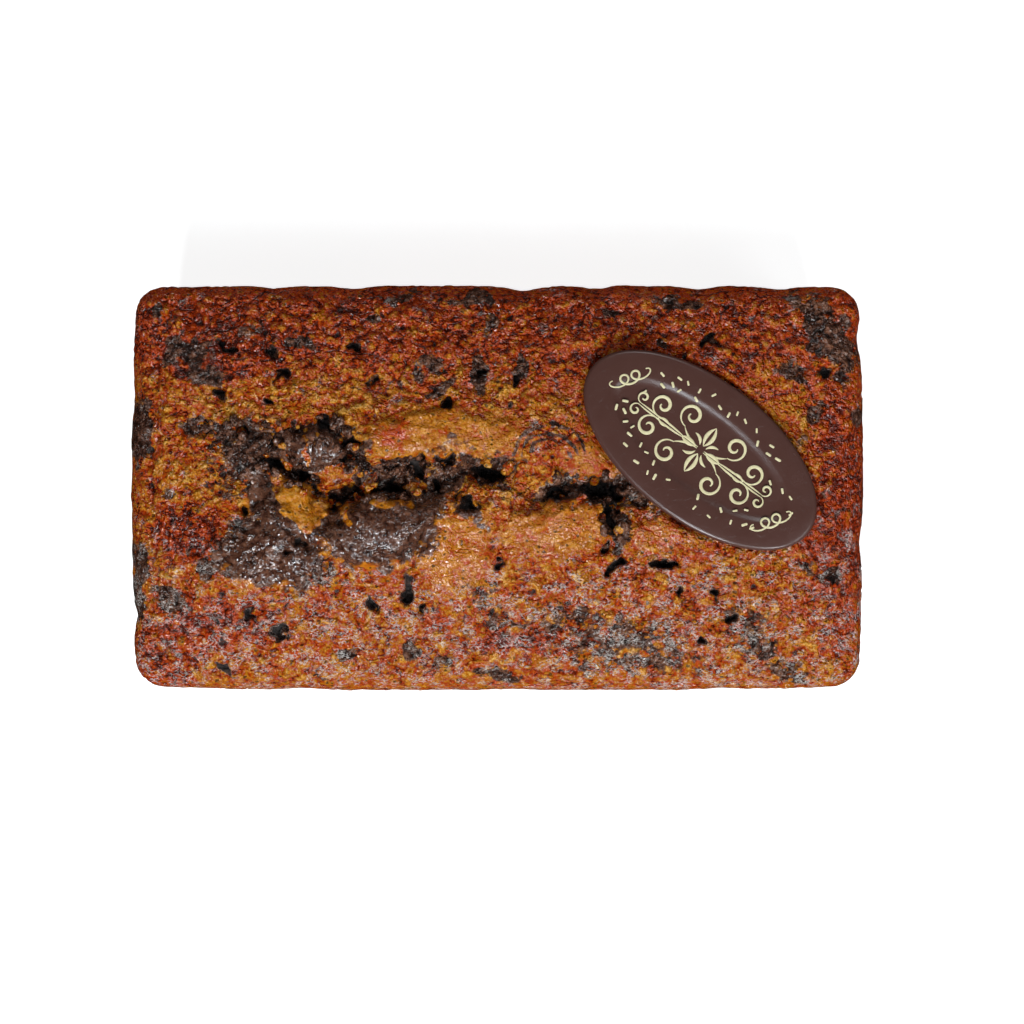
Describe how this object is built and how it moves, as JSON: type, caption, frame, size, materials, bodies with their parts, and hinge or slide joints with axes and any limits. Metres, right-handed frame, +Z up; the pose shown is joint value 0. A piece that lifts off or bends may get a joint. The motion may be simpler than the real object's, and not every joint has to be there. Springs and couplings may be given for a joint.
{
  "type": "marble loaf cake",
  "caption": "Baked marble loaf cake with a domed, torn crust and tapered sides, topped by a moulded oval chocolate plaque.",
  "frame": {"origin": "centre of the loaf's outline, on the surface that its flat base rests on", "axes": "+X along the loaf's length towards the end with the plaque, +Y towards the back long side (the picture's upper edge), +Z up"},
  "size_m": [0.1764, 0.0974, 0.0669],
  "materials": {
    "baked_crust": "baked crumb crust, amber and dark cocoa marbling, slightly glossy",
    "dark_chocolate": "tempered dark chocolate with a cream printed ornament"
  },
  "bodies": {
    "root": {"cake": "baked_crust", "plaque": "dark_chocolate"}
  },
  "joints": []
}
